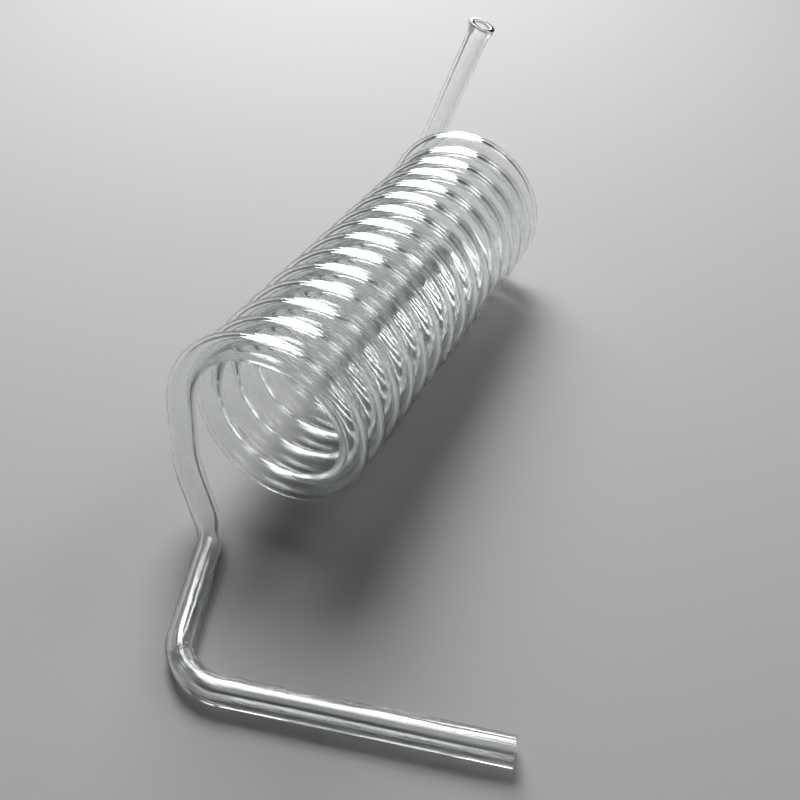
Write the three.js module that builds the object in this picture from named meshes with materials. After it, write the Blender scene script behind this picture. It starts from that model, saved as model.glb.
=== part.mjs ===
// A spiral diffuser blown from one run of clear glass tube: fifteen even turns, a long stem that
// drops from the front of the coil, runs along the table and turns into a straight arm, and a short
// stem that leaves the back of the coil and ends in a flared lip.
// Millimetres, +Z up. The coil runs along +Y with its front end raised, and the part rests on the
// front stem, the arm and the bottom of its last turn.

import * as THREE from 'three';

const { smoothstep, degToRad } = THREE.MathUtils;

// The tube
const TUBE_DIAMETER = 8;
const WALL = 1.5;
const OUTER_SIDES = 10;
const BORE_SIDES = 8;

// The coil
const COIL_RADIUS = 24.8; // from the coil's axis to the middle of the tube
const PITCH = 10.43;
const TURNS = 15;
const COIL_TILT = 5.2; // degrees, front end up
const STEPS_PER_TURN = 18;
const FRONT_SPREAD = 2.3; // the coil opens out by this much where the front stem leaves it
const SPREAD_TURNS = 0.35;
const REAR_OVERRUN = 0.055; // turns that the coil runs on before the back stem leaves it
const CROWN_LIFT = 1.4; // the crown of the last turn stands this much high
const CROWN_SHIFT = 1.9; // and this much to the left
const CROWN_TURN = 14.2; // where that crown is, in turns from the front
const CROWN_TURNS = 0.45; // and how far it fades out each way

// The front stem, corner by corner, where it lies flat: X to the right, Y to the back
const DROP_LENGTH = 20.9; // straight down from the coil, to the first corner
const KINK_CORNER = [-15, -11.9];
const ELBOW_CORNER = [0.5, -58];
const ARM_END = [89.5, -39.9];
const DROP_RADIUS = 21.9;
const KINK_RADIUS = 12;
const ELBOW_RADIUS = 16.2;

// The back stem and its lip
const REAR_STEM_LENGTH = 57.5;
const LIP_DIAMETER = 9.8;
const LIP_BORE = 5.6;
const LIP_HEIGHT = 3.2;
const LIP_FULL_FROM = 1.6; // between these two heights the lip has its full width
const LIP_FULL_TO = 2.56;
const LIP_THROAT = 2.24; // below this height the bore narrows to the tube's
const LIP_OUTER_BREAK = 0.7; // how far the rim's rounded edges reach onto its flat top
const LIP_INNER_BREAK = 0.5;
const LIP_SIDES = 20;

const JOINT_GAP = 0.3; // left between one section of tube and the next
const BEND_STEP = degToRad(11); // most that one step of a bend turns through
const GLASS = { color: 0xdfe9e7, roughness: 0.04, metalness: 0 };

const TUBE_RADIUS = TUBE_DIAMETER / 2;
const BORE_RADIUS = TUBE_RADIUS - WALL;
const LAST_TURN_END = TURNS + REAR_OVERRUN;

// The middle of the tube, so many turns along the coil, before the coil is tilted
function levelCoilPoint(turn) {
  const angle = 2 * Math.PI * turn;
  const radius = COIL_RADIUS + FRONT_SPREAD * (1 - smoothstep(turn, 0, SPREAD_TURNS));
  const crown = 1 - smoothstep(Math.abs(turn - CROWN_TURN), 0, CROWN_TURNS);
  return new THREE.Vector3(
    -radius * Math.cos(angle) - CROWN_SHIFT * crown,
    PITCH * turn,
    radius * Math.sin(angle) + CROWN_LIFT * crown,
  );
}

const TILT_AXIS = new THREE.Vector3(1, 0, 0);
const tiltCoil = (point) => point.applyAxisAngle(TILT_AXIS, -degToRad(COIL_TILT));

// The last turn's lowest point rests on the table, and that sets how high the coil lies
function lowestOfLastTurn() {
  const SCAN_STEP = 0.01;
  let lowest = Infinity;
  for (let turn = TURNS - 1; turn <= TURNS; turn += SCAN_STEP) {
    lowest = Math.min(lowest, tiltCoil(levelCoilPoint(turn)).z);
  }
  return lowest;
}

const COIL_RISE = TUBE_RADIUS - lowestOfLastTurn();

function coilPoint(turn) {
  const point = tiltCoil(levelCoilPoint(turn));
  point.z += COIL_RISE;
  return point;
}

function coilDirection(turn) {
  const STEP = 1e-4;
  return coilPoint(turn + STEP).sub(coilPoint(turn - STEP)).normalize();
}

class CoilCurve extends THREE.Curve {
  constructor(from, to) {
    super();
    this.from = from;
    this.to = to;
  }
  getPoint(t, target = new THREE.Vector3()) {
    return target.copy(coilPoint(THREE.MathUtils.lerp(this.from, this.to, t)));
  }
}

// A round bend from one straight run into the next
class BendCurve extends THREE.Curve {
  constructor(start, direction, inward, radius, angle) {
    super();
    Object.assign(this, { start, direction, inward, radius, angle });
  }
  getPoint(t, target = new THREE.Vector3()) {
    const turned = this.angle * t;
    return target
      .copy(this.start)
      .addScaledVector(this.direction, this.radius * Math.sin(turned))
      .addScaledVector(this.inward, this.radius * (1 - Math.cos(turned)));
  }
}

// Straight runs and bends, in turn, through a list of corners
function runsThrough(corners, radii) {
  const curves = [];
  let from = corners[0];
  radii.forEach((radius, i) => {
    const corner = corners[i + 1];
    const coming = corner.clone().sub(corners[i]).normalize();
    const going = corners[i + 2].clone().sub(corner).normalize();
    const angle = coming.angleTo(going);
    const setback = radius * Math.tan(angle / 2);
    const start = corner.clone().addScaledVector(coming, -setback);
    const inward = going.clone().addScaledVector(coming, -going.dot(coming)).normalize();
    curves.push({ curve: new THREE.LineCurve3(from, start), steps: 1 });
    curves.push({
      curve: new BendCurve(start, coming, inward, radius, angle),
      steps: Math.ceil(angle / BEND_STEP),
    });
    from = corner.clone().addScaledVector(going, setback);
  });
  curves.push({ curve: new THREE.LineCurve3(from, corners.at(-1)), steps: 1 });
  return curves;
}

function ringOfPoints(radius, sides) {
  return Array.from({ length: sides }, (_, i) => {
    const angle = (2 * Math.PI * i) / sides;
    return new THREE.Vector2(radius * Math.cos(angle), radius * Math.sin(angle));
  });
}

// The stretch of a curve that is left when each end gives up half of the gap to its neighbour
class TrimmedCurve extends THREE.Curve {
  constructor(whole, trimStart, trimEnd) {
    super();
    this.whole = whole;
    const length = whole.getLength();
    this.first = trimStart / length;
    this.last = 1 - trimEnd / length;
  }
  getPoint(t, target = new THREE.Vector3()) {
    return this.whole.getPointAt(THREE.MathUtils.lerp(this.first, this.last, t), target);
  }
}

function tubeAlong(curve, steps, trimStart = JOINT_GAP / 2, trimEnd = JOINT_GAP / 2) {
  const section = new THREE.Shape(ringOfPoints(TUBE_RADIUS, OUTER_SIDES));
  section.holes.push(new THREE.Path(ringOfPoints(BORE_RADIUS, BORE_SIDES)));
  const extrudePath = new TrimmedCurve(curve, trimStart, trimEnd);
  return new THREE.ExtrudeGeometry(section, { steps, extrudePath, bevelEnabled: false });
}

// The flared rim, turned about +Z with its flat top at the height of the lip
function lipRing() {
  const flare = LIP_DIAMETER / 2;
  const bore = LIP_BORE / 2;
  const profile = [
    [BORE_RADIUS, 0],
    [TUBE_RADIUS, 0],
    [flare, LIP_FULL_FROM],
    [flare, LIP_FULL_TO],
    [flare - LIP_OUTER_BREAK, LIP_HEIGHT],
    [bore + LIP_INNER_BREAK, LIP_HEIGHT],
    [bore, LIP_THROAT],
    [BORE_RADIUS, 0],
  ];
  return new THREE.LatheGeometry(profile.map(([r, z]) => new THREE.Vector2(r, z)), LIP_SIDES);
}

const spiral = new THREE.Group();

function addPiece(name, geometry) {
  const mesh = new THREE.Mesh(geometry, new THREE.MeshStandardMaterial(GLASS));
  mesh.name = name;
  spiral.add(mesh);
  return mesh;
}

// The front stem, from the coil to the open end of the arm
const onTable = ([x, y]) => new THREE.Vector3(x, y, TUBE_RADIUS);
const coilStart = coilPoint(0);
const frontCorners = [
  coilStart,
  coilStart.clone().addScaledVector(coilDirection(0), -DROP_LENGTH),
  onTable(KINK_CORNER),
  onTable(ELBOW_CORNER),
  onTable(ARM_END),
];
const frontNames = [
  'front_drop',
  'front_drop_bend',
  'front_slope',
  'front_kink',
  'front_runner',
  'front_elbow',
  'front_arm',
];
runsThrough(frontCorners, [DROP_RADIUS, KINK_RADIUS, ELBOW_RADIUS]).forEach(({ curve, steps }, i) => {
  const isArm = frontNames[i] === 'front_arm';
  addPiece(frontNames[i], tubeAlong(curve, steps, JOINT_GAP / 2, isArm ? 0 : JOINT_GAP / 2));
});

// The coil, a turn at a time
for (let turn = 1; turn <= TURNS; turn += 1) {
  const end = turn === TURNS ? LAST_TURN_END : turn;
  const steps = Math.round((end - turn + 1) * STEPS_PER_TURN);
  addPiece(`coil_turn_${String(turn).padStart(2, '0')}`, tubeAlong(new CoilCurve(turn - 1, end), steps));
}

// The back stem and its lip
const rearStart = coilPoint(LAST_TURN_END);
const rearDirection = coilDirection(LAST_TURN_END);
const rearTop = rearStart.clone().addScaledVector(rearDirection, REAR_STEM_LENGTH);
addPiece('rear_stem', tubeAlong(new THREE.LineCurve3(rearStart, rearTop), 1));

const lip = addPiece('rear_lip', lipRing().rotateX(Math.PI / 2));
lip.quaternion.setFromUnitVectors(new THREE.Vector3(0, 0, 1), rearDirection);
lip.position.copy(rearTop).addScaledVector(rearDirection, JOINT_GAP / 2);

// The origin goes on the table, under the middle of the whole part
spiral.updateMatrixWorld(true);
const box = new THREE.Box3().setFromObject(spiral, true);
const middle = box.getCenter(new THREE.Vector3());
spiral.position.set(-middle.x, -middle.y, -box.min.z);

export default spiral;
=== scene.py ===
# %% [markdown]
# # A spiral diffuser in clear glass
# One run of glass tube is wound into fifteen turns, with a long bent stem in front and a short
# stem with a flared lip at the back. Glass has no colour of its own to paint: what the eye reads
# is how its two walls bend and mirror the light. So most of this lesson is about a good surface.
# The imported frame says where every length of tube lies, and it comes first.

# %% Load the frame
import math

import bpy
import numpy as np
from mathutils import Matrix, Vector


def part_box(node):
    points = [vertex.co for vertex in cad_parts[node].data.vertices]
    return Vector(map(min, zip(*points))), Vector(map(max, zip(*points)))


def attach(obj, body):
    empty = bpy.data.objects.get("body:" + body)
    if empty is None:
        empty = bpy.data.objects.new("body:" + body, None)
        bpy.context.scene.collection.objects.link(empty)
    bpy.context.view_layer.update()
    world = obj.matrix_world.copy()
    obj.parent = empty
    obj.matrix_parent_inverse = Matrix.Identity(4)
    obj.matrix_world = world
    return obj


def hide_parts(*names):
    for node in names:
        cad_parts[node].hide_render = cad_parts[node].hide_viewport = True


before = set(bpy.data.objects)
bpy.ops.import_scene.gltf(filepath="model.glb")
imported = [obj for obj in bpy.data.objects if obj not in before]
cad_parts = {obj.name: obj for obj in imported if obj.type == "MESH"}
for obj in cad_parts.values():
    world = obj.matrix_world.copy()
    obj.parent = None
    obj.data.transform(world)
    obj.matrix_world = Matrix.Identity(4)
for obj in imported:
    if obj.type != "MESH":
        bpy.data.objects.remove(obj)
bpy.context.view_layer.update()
print("frame nodes:", len(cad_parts))

# %% [markdown]
# The coil's axis, its pitch and the size of the tube are read from the frame, so the glass
# always lands on the solids it stands for. Two turns that are far apart give the axis: the line
# between the middles of their boxes. The arm lies flat, so its height is the tube's diameter, and
# the width of one turn then gives the coil's radius.

# %% Read the coil's axis from the frame
MM = 0.001
TURNS = 15
FIRST_EVEN_TURN = 3
MIDDLE_TURN = 8
LAST_EVEN_TURN = 12


def turn_name(turn):
    return f"coil_turn_{turn:02d}"


def box_middle(node):
    low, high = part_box(node)
    return np.array((low + high) / 2)


def box_size(node):
    low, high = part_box(node)
    return np.array(high - low)


even_start = box_middle(turn_name(FIRST_EVEN_TURN))
even_end = box_middle(turn_name(LAST_EVEN_TURN))
axis_step = (even_end - even_start) / (LAST_EVEN_TURN - FIRST_EVEN_TURN)
axis_start = even_start - axis_step * (FIRST_EVEN_TURN - 0.5)
pitch = float(np.linalg.norm(axis_step))
axis = axis_step / pitch
tube_radius = float(box_size("front_arm")[2]) / 2
coil_radius = float(box_size(turn_name(MIDDLE_TURN))[0]) / 2 - tube_radius
right = np.array((1.0, 0.0, 0.0))
rise = np.cross(right, axis)
print(f"pitch {pitch / MM:.2f} mm, coil radius {coil_radius / MM:.2f} mm")
print(f"tube {2 * tube_radius / MM:.2f} mm outside")
print(f"axis leans {math.degrees(math.asin(-axis[2])):.2f} degrees down to the back")

# %% [markdown]
# The camera stands in front of the coil, to its right and above it, and looks down along it. It is
# placed from the point on the table under the coil's front end, which every later size uses too.

# %% Camera
CAMERA_FROM_COIL = Vector((115.7, -160.2, 230.9)) * MM
CAMERA_TURN = math.radians(25.0)
CAMERA_DROP = math.radians(42.45)
CAMERA_ROLL = math.radians(0.7)
LENS = 44.5
NEAREST_SEEN = 10 * MM

coil_foot = Vector((axis_start[0], axis_start[1], 0.0))
camera = bpy.data.objects.new("camera", bpy.data.cameras.new("camera"))
camera.data.lens = LENS
camera.data.clip_start = NEAREST_SEEN
camera.matrix_world = (
    Matrix.Translation(coil_foot + CAMERA_FROM_COIL)
    @ Matrix.Rotation(CAMERA_TURN, 4, "Z")
    @ Matrix.Rotation(math.pi / 2 - CAMERA_DROP, 4, "X")
    @ Matrix.Rotation(-CAMERA_ROLL, 4, "Z")
)
bpy.context.collection.objects.link(camera)
bpy.context.scene.camera = camera
print("camera stands", [round(v / MM) for v in camera.matrix_world.translation], "mm from the origin")

# %% [markdown]
# ## The route of the tube
# A glassblower bends one tube, so its middle is one line from the arm's open end to the lip. It
# is worked out as straight runs, round bends and a helix, each kept under the name of the length
# of tube that it belongs to. A curve object with a bevel could follow such a line, but its section
# stays the same all along, and real bends pinch, flatten and swell. So the line is sampled as
# points here, and the skin is built round it by hand in the next step. Two places leave the even
# helix: the coil starts a little wide, and the crown of its last turn sits high and to the side,
# where the back stem was turned up.

# %% Points on the coil
FRONT_SPREAD = 2.3 * MM
SPREAD_TURNS = 0.35
CROWN_AT = 14.2
CROWN_REACH = 0.45
CROWN_LIFT = 1.4 * MM
CROWN_SHIFT = 1.9 * MM


def fade(value, start, end):
    """0 before start, 1 after end, and an even slope between."""
    t = np.clip((np.asarray(value, float) - start) / (end - start), 0, 1)
    return t * t * (3 - 2 * t)


def coil_point(turn):
    """The middle of the tube, so many turns from the front of the coil."""
    turn = np.asarray(turn, float)
    angle = 2 * math.pi * turn
    radius = coil_radius + FRONT_SPREAD * (1 - fade(turn, 0, SPREAD_TURNS))
    crown = 1 - fade(abs(turn - CROWN_AT), 0, CROWN_REACH)
    across = -radius * np.cos(angle) - CROWN_SHIFT * crown
    up = radius * np.sin(angle) + CROWN_LIFT * crown
    sideways = np.multiply.outer(across, right)
    upward = np.multiply.outer(up, rise)
    forward = np.multiply.outer(turn, axis_step)
    return axis_start + sideways + upward + forward


def coil_direction(turn):
    """The way the tube runs at a point of the coil."""
    step = 1e-4
    ahead = coil_point(turn + step) - coil_point(turn - step)
    return ahead / np.linalg.norm(ahead)


print("coil starts at", [round(v / MM, 1) for v in coil_point(0.0)], "mm")

# %% [markdown]
# Five points set the front stem: its two ends, and the corners that its three bends round off.
# Three of them lie at one height, because the arm and the runner rest on the table. They are given
# in millimetres from the point under the coil's front end. The other two follow from the coil,
# because the stem leaves its first turn straight on.

# %% Corners of the front stem
DROP_LENGTH = 20.9 * MM
KINK_CORNER = (-15.0, -11.9)
ELBOW_CORNER = (0.5, -58.0)
ARM_END = (89.5, -39.9)
ELBOW_RADIUS = 16.2 * MM
KINK_RADIUS = 12.0 * MM
DROP_RADIUS = 21.9 * MM


def on_table(corner):
    """The tube's middle where it lies on the table, from two measures in mm."""
    return np.array((*corner, 0.0)) * MM + np.array(coil_foot) + np.array((0, 0, tube_radius))


front_corners = [
    on_table(ARM_END),
    on_table(ELBOW_CORNER),
    on_table(KINK_CORNER),
    coil_point(0.0) - coil_direction(0.0) * DROP_LENGTH,
    coil_point(0.0),
]
for corner in front_corners:
    print("stem corner in mm:", [round(v / MM, 1) for v in corner])

# %% Straight runs and round bends as points
LINE_STEP = 1.0 * MM
BEND_STEP = math.radians(1.5)
FEWEST_LINE_STEPS = 2
FEWEST_BEND_STEPS = 8
runs = []


def add_run(name, points, inward=(0.0, 0.0, 0.0)):
    """Keeps a run's points, and the way to the inside of its bend."""
    runs.append({"name": name, "points": np.array(points), "inward": np.array(inward)})


def add_line(name, start, end):
    steps = max(FEWEST_LINE_STEPS, round(float(np.linalg.norm(end - start)) / LINE_STEP))
    add_run(name, start + np.multiply.outer(np.linspace(0, 1, steps + 1), end - start))


def add_bend(name, start, coming, going, radius, angle):
    """An arc that turns from one direction to another."""
    inward = going - coming * float(going @ coming)
    inward /= np.linalg.norm(inward)
    steps = max(FEWEST_BEND_STEPS, round(angle / BEND_STEP))
    turned = np.linspace(0, angle, steps + 1)
    forward = np.multiply.outer(np.sin(turned), coming)
    sideways = np.multiply.outer(1 - np.cos(turned), inward)
    add_run(name, start + radius * (forward + sideways), inward)


stem_names = [
    "front_arm",
    "front_elbow",
    "front_runner",
    "front_kink",
    "front_slope",
    "front_drop_bend",
    "front_drop",
]
line_start = front_corners[0]
for i, radius in enumerate((ELBOW_RADIUS, KINK_RADIUS, DROP_RADIUS)):
    corner = front_corners[i + 1]
    coming = corner - front_corners[i]
    coming /= np.linalg.norm(coming)
    going = front_corners[i + 2] - corner
    going /= np.linalg.norm(going)
    angle = math.acos(float(coming @ going))
    setback = radius * math.tan(angle / 2)
    add_line(stem_names[2 * i], line_start, corner - coming * setback)
    add_bend(stem_names[2 * i + 1], corner - coming * setback, coming, going, radius, angle)
    line_start = corner + going * setback
add_line(stem_names[-1], line_start, front_corners[-1])
print("front stem's runs:", [run["name"] for run in runs])

# %% Turns and the back stem as points
STEPS_PER_TURN = 72
REAR_OVERRUN = 0.055
REAR_STEM_LENGTH = 57.65 * MM
LIP_HEIGHT = 3.2 * MM
LIP_STEPS = 8

coil_end = TURNS + REAR_OVERRUN
for turn in range(1, TURNS + 1):
    last = coil_end if turn == TURNS else turn
    steps = round((last - turn + 1) * STEPS_PER_TURN)
    add_run(turn_name(turn), coil_point(np.linspace(turn - 1, last, steps + 1)))

rear_start = coil_point(coil_end)
rear_direction = coil_direction(coil_end)
rear_top = rear_start + rear_direction * REAR_STEM_LENGTH
add_line("rear_stem", rear_start, rear_top)
lip_heights = np.linspace(0, LIP_HEIGHT, LIP_STEPS + 1)
add_run("rear_lip", rear_top + np.multiply.outer(lip_heights, rear_direction))
print("runs:", len(runs), "from", runs[0]["name"], "to", runs[-1]["name"])

# %% [markdown]
# ## One skin, cut into lengths
# The glass has an outer wall and a bore, so its skin is a sleeve: out along the tube, round the
# lip, back through the bore and round the arm's cut end. Where two lengths meet there must be no
# face at all, or light would bend there and a line would show. So the whole sleeve is worked out
# once as a grid of rings, with its normals, and each length takes its own rings from it.

# %% Join the runs into one line
line_parts = [runs[0]["points"][:1]]
inward_parts = [np.zeros((1, 3))]
first_ring = {}
last_ring = {}
newest_ring = 0
for run in runs:
    new = run["points"][1:]
    line_parts.append(new)
    inward_parts.append(np.tile(run["inward"], (len(new), 1)))
    first_ring[run["name"]] = newest_ring
    newest_ring += len(new)
    last_ring[run["name"]] = newest_ring
line = np.concatenate(line_parts)
inward = np.concatenate(inward_parts)
along = np.concatenate([[0], np.cumsum(np.linalg.norm(np.diff(line, axis=0), axis=1))])
print(f"rings {len(line)}, tube length {along[-1]:.3f} m")


def middle_of(name):
    """How far along the tube the middle of a run is."""
    return (along[first_ring[name]] + along[last_ring[name]]) / 2


# %% [markdown]
# Hand work shows in small ways. The turns of a coil wound hot on a mandrel differ by a tenth or
# two of a millimetre, and that is what keeps their highlights from looking machine made. The
# wander is a sum of slow waves that fades out where the stems begin.

# %% Let the coil wander a little
WANDER = 0.16 * MM
WANDER_WAVES = (0.83, 0.37, 0.19)
STEADY_LENGTH = 0.12


def waves(distance, lengths, seed):
    """A slow, smooth wander between about -1 and 1, from waves of these lengths."""
    phases = np.random.default_rng(seed).uniform(0, 2 * math.pi, len(lengths))
    total = 0
    for length, phase in zip(lengths, phases):
        total = total + np.sin(2 * math.pi * distance / length + phase)
    return total / len(lengths)


coil_from = along[first_ring[turn_name(1)]]
coil_to = along[last_ring[turn_name(TURNS)]]
in_coil = fade(along, coil_from, coil_from + STEADY_LENGTH)
in_coil *= 1 - fade(along, coil_to - STEADY_LENGTH, coil_to)
for seed, direction in enumerate((right, rise, axis)):
    wander = WANDER * in_coil * waves(along, WANDER_WAVES, seed)
    line = line + np.multiply.outer(wander, direction)
print(f"largest wander {WANDER / MM:.2f} mm")

# %% Frames that ride along the line without twisting
ahead = np.gradient(line, axis=0)
ahead /= np.linalg.norm(ahead, axis=1, keepdims=True)
side = np.zeros_like(line)
side[0] = np.cross(ahead[0], (0, 0, 1))
for i in range(1, len(line)):
    side[i] = side[i - 1] - ahead[i] * float(side[i - 1] @ ahead[i])
    side[i] /= np.linalg.norm(side[i])
top = np.cross(ahead, side)
print("frames:", len(side))

# %% [markdown]
# The two radii are a number for every ring and every spoke, so any dent or swelling is one line of
# sums. Tube from stock is never quite even along its length. In the bends it flattens a little,
# and its wall is thinner on the outside.

# %% Spokes, and the radii of plain and bent tube
SIDES = 48
WALL = 1.5 * MM
FLATTEN = 0.025
BORE_SHIFT = 0.05
UNEVEN = 0.004
OUTER_WAVES = (0.41, 0.13, 0.07)
OUTER_SEED = 7
BORE_WAVES = (0.31, 0.17, 0.06)
BORE_SEED = 8
SOFTEN_RINGS = 6

around = np.linspace(0, 2 * math.pi, SIDES, endpoint=False)
spokes = side[:, None] * np.cos(around)[None, :, None]
spokes = spokes + top[:, None] * np.sin(around)[None, :, None]
toward_inside = np.einsum("rsk,rk->rs", spokes, inward)
in_bend = np.linalg.norm(inward, axis=1)[:, None]


def soften(values):
    """Evens out values over a few rings, so that nothing starts or ends at once."""
    kernel = np.hanning(2 * SOFTEN_RINGS + 1)
    kernel /= kernel.sum()
    padded = [np.pad(column, SOFTEN_RINGS, "edge") for column in values.T]
    return np.stack([np.convolve(column, kernel, "valid") for column in padded], axis=1)


flattened = soften(soften(1 - 2 * toward_inside**2) * in_bend)
outer = np.full((len(line), SIDES), tube_radius) * (1 + FLATTEN * flattened)
outer *= 1 + UNEVEN * waves(along, OUTER_WAVES, OUTER_SEED)[:, None]
bore = np.full((len(line), SIDES), tube_radius - WALL)
bore *= 1 + 2 * UNEVEN * waves(along, BORE_WAVES, BORE_SEED)[:, None]
bore *= 1 - BORE_SHIFT * soften(toward_inside)
print(f"plain wall {(outer - bore).min() / MM:.2f} to {(outer - bore).max() / MM:.2f} mm")

# %% [markdown]
# Three places were worked again in the flame. The kink is a weld: the tube is pinched there,
# dented on its inside, and its wall is thick. The elbow swelled a little on its upper side, with
# a short crease across it. The lip was opened with a carbon rod.

# %% Pinch, crease and lip
PINCH_WIDTH = 3.6 * MM
PINCH_OFFSET = 0.5 * MM
PINCH_OUTER = 0.05
PINCH_BORE = 0.2
DENT = 0.75 * MM
SWELL_WIDTH = 3.0 * MM
SWELL_OFFSET = 0.5 * MM
SWELL_OUTER = 0.12 * MM
SWELL_BORE = 0.15 * MM
CREASE_WIDTH = 0.7 * MM
CREASE_OFFSET = 4.8 * MM
CREASE_OUTER = 0.5 * MM
CREASE_BORE = 0.35 * MM
FLARE_LENGTH = 5.0 * MM
FLARE_STOP = 0.6 * MM
LIP_FLARE = 0.9 * MM
LIP_OPEN = 0.25 * MM


def bump(name, width, offset):
    """1 near the middle of a run, falling to 0 on both sides."""
    return np.exp(-(((along - middle_of(name) - offset) / width) ** 2))[:, None]


inner_side = np.clip(toward_inside, 0, 1)
pinch = bump("front_kink", PINCH_WIDTH, PINCH_OFFSET)
outer *= 1 - PINCH_OUTER * pinch
outer -= DENT * pinch * soften(inner_side) ** 2
bore *= 1 - PINCH_BORE * pinch

upper_side = np.clip(spokes[:, :, 2], 0, 1)
swell = bump("front_elbow", SWELL_WIDTH, SWELL_OFFSET) * upper_side
crease = bump("front_elbow", CREASE_WIDTH, CREASE_OFFSET) * upper_side
outer += SWELL_OUTER * swell - CREASE_OUTER * crease
bore -= SWELL_BORE * swell + CREASE_BORE * crease

flare = fade(along, along[-1] - FLARE_LENGTH, along[-1] - FLARE_STOP)[:, None]
outer += LIP_FLARE * flare
bore += LIP_OPEN * flare
print(f"outer radius {outer.min() / MM:.2f} to {outer.max() / MM:.2f} mm")
print(f"bore radius {bore.min() / MM:.2f} to {bore.max() / MM:.2f} mm")

# %% [markdown]
# Both open ends close the sleeve with a few rings that go from the outer wall round to the bore.
# The cut end is square with only its edges broken, and the lip is round, as melted glass draws
# itself. One rule makes both: a circle whose corners are pushed out by a power below one.

# %% Build the sleeve as one closed loop of rings
CAP_RINGS = 14
CUT_DEPTH = 0.25 * MM
CUT_POWER = 0.35
LIP_DEPTH = 0.9 * MM
LIP_POWER = 0.7


def wall_rings(radii):
    return line[:, None] + spokes * radii[:, :, None]


def cap_rings(end, outward, depth, power):
    """Rings from the outer wall round the open end to the bore."""
    middle = (outer[end] + bore[end]) / 2
    half = (outer[end] - bore[end]) / 2
    rings = []
    for turned in np.linspace(0, math.pi, CAP_RINGS + 2)[1:-1]:
        radial = math.copysign(abs(math.cos(turned)) ** power, math.cos(turned))
        stand = depth * math.sin(turned) ** power
        radii = middle + half * radial
        rings.append(line[end] + outward * stand + spokes[end] * radii[:, None])
    return np.stack(rings)


line[0] += ahead[0] * CUT_DEPTH
line[-1] -= ahead[-1] * LIP_DEPTH
rear_cap = cap_rings(-1, ahead[-1], LIP_DEPTH, LIP_POWER)
front_cap = cap_rings(0, -ahead[0], CUT_DEPTH, CUT_POWER)[::-1]
sleeve = np.concatenate([wall_rings(outer), rear_cap, wall_rings(bore)[::-1], front_cap])
print(f"sleeve of {len(sleeve)} rings by {SIDES} spokes")

# %% Normals of the whole sleeve
loop_step = np.roll(sleeve, -1, axis=0) - np.roll(sleeve, 1, axis=0)
side_step = np.roll(sleeve, -1, axis=1) - np.roll(sleeve, 1, axis=1)
normals = np.cross(side_step, loop_step)
normals /= np.linalg.norm(normals, axis=2, keepdims=True)
outward_share = float(np.mean(np.einsum("rsk,rsk->rs", normals[: len(line)], spokes)))
print(f"outer wall's normals point out: {outward_share:.2f} of 1")

# %% [markdown]
# A finish can only differ from place to place if the skin says where it is. So each point carries
# three things: its spoke and its distance along the tube, how far it was worked in the flame, and
# whether it lies on the face that the saw left. Cycles keeps some names for smoke and fire, flame
# among them, and a mesh's own values under such a name read as 0. So that one is called worked.

# %% What each ring tells the finish
EDGE_RINGS = 2
ELBOW_FLAME_WIDTH = 4.0 * MM
ELBOW_FLAME_OFFSET = 0.5 * MM
KINK_FLAME_WIDTH = 4.5 * MM
KINK_FLAME_OFFSET = 1.0 * MM
KINK_FLAME_SHARE = 0.12

no_cap = np.zeros(CAP_RINGS)
distance = np.concatenate([along, no_cap + along[-1], along[::-1], no_cap])
cut = np.zeros(len(sleeve))
cut[-CAP_RINGS + EDGE_RINGS : -EDGE_RINGS] = 1.0
elbow_flame = bump("front_elbow", ELBOW_FLAME_WIDTH, ELBOW_FLAME_OFFSET)[:, 0]
kink_flame = KINK_FLAME_SHARE * bump("front_kink", KINK_FLAME_WIDTH, KINK_FLAME_OFFSET)[:, 0]
flame = np.maximum(elbow_flame, kink_flame)
worked = np.concatenate([flame, no_cap, flame[::-1], no_cap])
print(f"rings on the sawn face: {int(cut.sum())}, most worked: {worked.max():.2f}")

# %% [markdown]
# The loop is then cut where one length ends and the next begins. A length in the middle takes a
# stretch of the outer wall and the same stretch of the bore. The lip and the arm each take one
# stretch that runs on round their open end.

# %% Where each length lies in the loop
ring_count = len(line)
loop_length = len(sleeve)


def bore_ring(ring):
    """Where the bore's copy of an outer ring is in the loop."""
    return 2 * ring_count + CAP_RINGS - 1 - ring


def loop_slices(name):
    """The stretches of the loop that belong to one length of tube."""
    start = first_ring[name]
    end = last_ring[name]
    if name == runs[-1]["name"]:
        return [np.arange(start, bore_ring(start) + 1)]
    if name == runs[0]["name"]:
        return [np.arange(bore_ring(end), loop_length + end + 1) % loop_length]
    return [np.arange(start, end + 1), np.arange(bore_ring(end), bore_ring(start) + 1)]


def ring_faces(rings, first_vertex):
    """Quads between one ring and the next, facing out of the glass."""
    ring, spoke = np.meshgrid(np.arange(rings - 1), np.arange(SIDES), indexing="ij")
    a = first_vertex + ring * SIDES + spoke
    b = first_vertex + ring * SIDES + (spoke + 1) % SIDES
    return np.stack([a, b, b + SIDES, a + SIDES], axis=-1).reshape(-1, 4)


print("stretches of the arm:", len(loop_slices("front_arm")))
print("stretches of a turn:", len(loop_slices(turn_name(1))))

# %% Make every length of glass
def keep_numbers(mesh, name, numbers):
    mesh.attributes.new(name, "FLOAT", "POINT").data.foreach_set("value", numbers)


def keep_vectors(mesh, name, vectors):
    mesh.attributes.new(name, "FLOAT_VECTOR", "POINT").data.foreach_set("vector", vectors.ravel())


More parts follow.
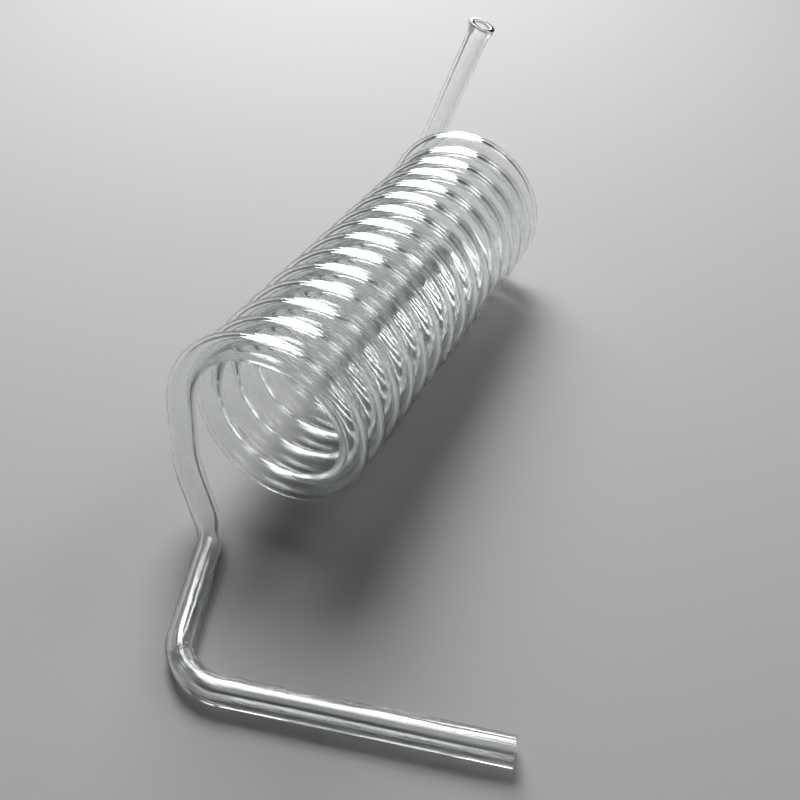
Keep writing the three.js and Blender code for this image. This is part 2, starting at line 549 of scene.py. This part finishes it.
def glass_length(name):
    """One length of the tube as its own object."""
    slices = loop_slices(name)
    rows = np.concatenate(slices)
    faces = []
    first_vertex = 0
    for rings in slices:
        faces.append(ring_faces(len(rings), first_vertex))
        first_vertex += len(rings) * SIDES
    mesh = bpy.data.meshes.new(f"{name}_glass")
    mesh.from_pydata(sleeve[rows].reshape(-1, 3).tolist(), [], np.concatenate(faces).tolist())
    mesh.shade_smooth()
    mesh.normals_split_custom_set_from_vertices(normals[rows].reshape(-1, 3).tolist())
    straightened = np.empty((len(rows), SIDES, 3))
    straightened[:, :, 0] = np.cos(around)
    straightened[:, :, 1] = np.sin(around)
    straightened[:, :, 2] = distance[rows][:, None]
    keep_vectors(mesh, "tube", straightened)
    keep_numbers(mesh, "cut", np.repeat(cut[rows], SIDES))
    keep_numbers(mesh, "worked", np.repeat(worked[rows], SIDES))
    piece = bpy.data.objects.new(f"{name}_glass", mesh)
    bpy.context.collection.objects.link(piece)
    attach(piece, "root")
    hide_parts(name)
    return piece


pieces = {run["name"]: glass_length(run["name"]) for run in runs}
face_total = sum(len(piece.data.polygons) for piece in pieces.values())
print("lengths of glass:", len(pieces), "faces:", face_total)

# %% [markdown]
# ## Glass
# Shader sums are easier to read as sums. A small class wraps a node's output, and using it with
# + or * adds the Math node that works it out. Any other node comes from one method.

# %% A helper for shader sums
class Link:
    """A node's output that can be used in sums."""

    def __init__(self, finish, socket):
        self.finish = finish
        self.socket = socket

    def sum(self, operation, first, second):
        return self.finish.add("ShaderNodeMath", {"operation": operation}, {0: first, 1: second})

    def __add__(self, other):
        return self.sum("ADD", self, other)

    __radd__ = __add__

    def __mul__(self, other):
        return self.sum("MULTIPLY", self, other)

    __rmul__ = __mul__


class Finish:
    """A material that is built node by node."""

    def __init__(self, name):
        self.material = bpy.data.materials.new(name)
        self.material.use_nodes = True
        self.tree = self.material.node_tree
        self.tree.nodes.clear()

    def add(self, kind, settings=None, inputs=None, output=0):
        node = self.tree.nodes.new(kind)
        for key, value in (settings or {}).items():
            setattr(node, key, value)
        for key, value in (inputs or {}).items():
            if isinstance(value, Link):
                self.tree.links.new(value.socket, node.inputs[key])
            else:
                node.inputs[key].default_value = value
        return Link(self, node.outputs[output]) if node.outputs else node

    def show(self, surface):
        self.add("ShaderNodeOutputMaterial", None, {"Surface": surface})
        return self.material


# %% [markdown]
# Borosilicate tube is almost colourless, with an index of refraction of 1.47. Drawing it leaves
# faint lines along its length, which are noise stretched along the tube: the skin carries its own
# straightened coordinates for that, so the lines follow every bend. Where the flame worked the
# glass, it pulls into ropes that are broader and deeper than these lines. Handling leaves patches
# that are a little less polished, and the sawn face is matt. An image texture could hold all this,
# but noise needs no file and stays sharp however near one looks.

# %% Clear glass and fire-polished glass
GLASS_INDEX = 1.473
LINE_SCALE = (8.0, 8.0, 3.0)
LINE_DETAIL = 2.0
ROPE_SCALE = (3.5, 3.5, 25.0)
ROPE_DETAIL = 1.0
ROPE_HEIGHT = 60.0
PATCH_SCALE = (0.8, 0.8, 45.0)
PATCH_DETAIL = 4.0
SAWN_ROUGHNESS = 0.3
RELIEF_STRENGTH = 0.5


def glass_finish(name, tint, draw_depth, haze):
    finish = Finish(name)
    tube = finish.add("ShaderNodeAttribute", {"attribute_name": "tube"}, None, "Vector")
    cut_face = finish.add("ShaderNodeAttribute", {"attribute_name": "cut"}, None, "Fac")
    flame_worked = finish.add("ShaderNodeAttribute", {"attribute_name": "worked"}, None, "Fac")

    def tube_noise(scale, detail):
        """Noise that follows the tube, with a scale round it and a scale along it."""
        place = finish.add("ShaderNodeVectorMath", {"operation": "MULTIPLY"}, {0: tube, 1: scale})
        return finish.add("ShaderNodeTexNoise", None, {"Vector": place, "Scale": 1.0, "Detail": detail})

    lines = tube_noise(LINE_SCALE, LINE_DETAIL)
    ropes = tube_noise(ROPE_SCALE, ROPE_DETAIL)
    handled = tube_noise(PATCH_SCALE, PATCH_DETAIL)
    relief = lines + ROPE_HEIGHT * ropes * flame_worked
    relief_inputs = {"Strength": RELIEF_STRENGTH, "Distance": draw_depth, "Height": relief}
    bump_map = finish.add("ShaderNodeBump", None, relief_inputs, "Normal")
    glass = finish.add(
        "ShaderNodeBsdfPrincipled",
        None,
        {
            "Base Color": (*tint, 1.0),
            "Roughness": SAWN_ROUGHNESS * cut_face + haze * handled,
            "IOR": GLASS_INDEX,
            "Transmission Weight": 1.0,
            "Normal": bump_map,
        },
    )
    return finish.show(glass)


clear_glass = glass_finish("clear_glass", tint=(0.975, 0.987, 0.983), draw_depth=0.02 * MM, haze=0.02)
polished_rim = glass_finish("polished_rim", tint=(0.985, 0.992, 0.99), draw_depth=0.01 * MM, haze=0.16)
for name, piece in pieces.items():
    is_rim = name == "rear_lip"
    piece.data.materials.append(polished_rim if is_rim else clear_glass)
print("finishes:", clear_glass.name, polished_rim.name)

# %% [markdown]
# ## Floor and light
# A pale matte floor shows the glass by the light that it bends out of its way. It is plain paper
# with a very fine grain, and so large that the camera sees no edge of it.

# %% Floor
FLOOR_SIZE = 4.0
FLOOR_TONE = 0.24
FLOOR_ROUGHNESS = 0.9
GRAIN_SCALE = 900.0
GRAIN_DETAIL = 2.0
GRAIN_DEPTH = 0.1 * MM
GRAIN_STRENGTH = 0.15

half = FLOOR_SIZE / 2
floor_corners = [(-half, -half, 0), (half, -half, 0), (half, half, 0), (-half, half, 0)]
floor_mesh = bpy.data.meshes.new("floor")
floor_mesh.from_pydata(floor_corners, [], [(0, 1, 2, 3)])
floor = bpy.data.objects.new("floor", floor_mesh)
bpy.context.collection.objects.link(floor)
paper = Finish("floor_paper")
grain = paper.add("ShaderNodeTexNoise", None, {"Scale": GRAIN_SCALE, "Detail": GRAIN_DETAIL})
grain_inputs = {"Strength": GRAIN_STRENGTH, "Distance": GRAIN_DEPTH, "Height": grain}
paper_bump = paper.add("ShaderNodeBump", None, grain_inputs, "Normal")
paper_tone = (FLOOR_TONE, FLOOR_TONE, FLOOR_TONE, 1.0)
paper_inputs = {"Base Color": paper_tone, "Roughness": FLOOR_ROUGHNESS, "Normal": paper_bump}
matte = paper.add("ShaderNodeBsdfPrincipled", None, paper_inputs)
floor_mesh.materials.append(paper.show(matte))
print(f"floor of {FLOOR_SIZE} m laid")

# %% [markdown]
# Clear glass mirrors its lights, so their shapes are the shapes of its highlights. A tall window
# behind and to the left draws the long white highlights along the crowns of the turns. A low card
# under it is seen only in the glass and doesn't light the floor: it carries the highlights down
# the sides of the tube and round the lip. A second window on the right gives the fainter pairs.

# %% Lights
def softbox(name, turn, height_angle, distance, width, height, power):
    """A rectangle of light that faces the coil, from a turn off +Y and a height in degrees."""
    light = bpy.data.lights.new(name, "AREA")
    light.shape = "RECTANGLE"
    light.size = width
    light.size_y = height
    light.energy = power
    lamp = bpy.data.objects.new(name, light)
    turn = math.radians(turn)
    height_angle = math.radians(height_angle)
    flat = math.cos(height_angle)
    toward = Vector((math.sin(turn) * flat, math.cos(turn) * flat, math.sin(height_angle)))
    target = Vector(axis_start) + Vector(axis_step) * TURNS / 2
    lamp.location = target + toward * distance
    lamp.rotation_euler = toward.to_track_quat("Z", "Y").to_euler()
    bpy.context.collection.objects.link(lamp)
    return lamp


softbox("window", turn=-35, height_angle=52, distance=0.80, width=0.43, height=0.67, power=15.5)
low_card = softbox("low_card", turn=-20, height_angle=14, distance=0.90, width=0.40, height=0.30, power=4.5)
low_card.visible_diffuse = False
softbox("side_window", turn=38, height_angle=45, distance=1.5, width=0.45, height=0.5, power=5.0)

# %% [markdown]
# The room round the table is grey at the height of the horizon and dark overhead, because glass
# needs something darker than its lights to mirror. A ray that crosses many turns meets dozens of
# walls, so it may bend far more often than in a scene without glass, or the coil would go black.

# %% Room
HORIZON = (0.24, 0.24, 0.245, 1.0)
OVERHEAD = (0.05, 0.05, 0.052, 1.0)
OVERHEAD_FROM = 0.45
MOST_BOUNCES = 40

world = bpy.data.worlds.new("room")
world.use_nodes = True
nodes = world.node_tree.nodes
links = world.node_tree.links
direction = nodes.new("ShaderNodeTexCoord")
height = nodes.new("ShaderNodeSeparateXYZ")
sky = nodes.new("ShaderNodeValToRGB")
links.new(direction.outputs["Generated"], height.inputs["Vector"])
links.new(height.outputs["Z"], sky.inputs["Fac"])
links.new(sky.outputs["Color"], nodes["Background"].inputs["Color"])
sky.color_ramp.elements[0].color = HORIZON
sky.color_ramp.elements[1].color = OVERHEAD
sky.color_ramp.elements[1].position = OVERHEAD_FROM
bpy.context.scene.world = world
bpy.context.scene.view_settings.view_transform = "Standard"
bpy.context.scene.cycles.max_bounces = MOST_BOUNCES
bpy.context.scene.cycles.transmission_bounces = MOST_BOUNCES
bpy.context.scene.cycles.transparent_max_bounces = MOST_BOUNCES
print("a ray may bend", MOST_BOUNCES, "times")
